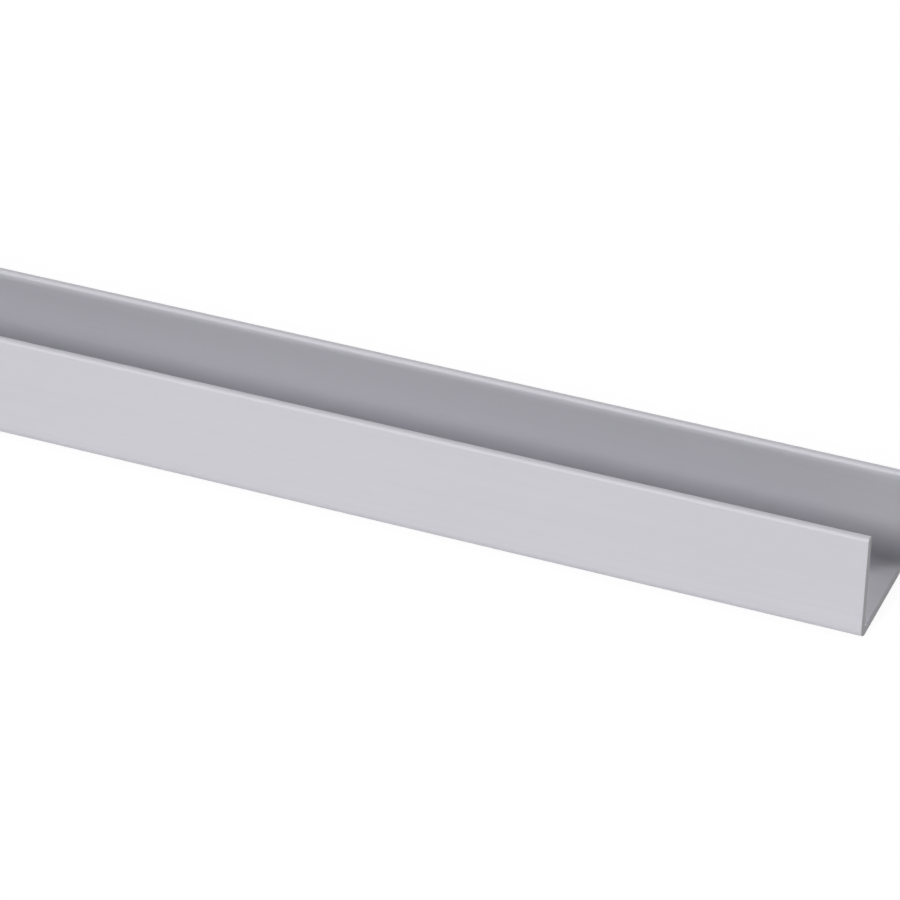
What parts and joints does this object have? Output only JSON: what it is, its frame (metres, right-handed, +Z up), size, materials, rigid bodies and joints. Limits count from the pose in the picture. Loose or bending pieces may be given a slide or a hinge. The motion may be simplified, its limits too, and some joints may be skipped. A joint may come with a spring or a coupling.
{
  "type": "plastic u-channel",
  "caption": "Straight length of extruded plastic u-channel with a flat web, two equal flanges, rounded bends and square-cut ends.",
  "frame": {"origin": "middle of the web's underside, halfway along the length", "axes": "+X along the length, +Y across from one flange to the other, +Z up from the web to the open side"},
  "size_m": [1, 0.022, 0.019],
  "materials": {
    "rigid_pvc": "satin, as extruded, light cool grey"
  },
  "bodies": {
    "root": {"u_channel": "rigid_pvc"}
  },
  "joints": []
}
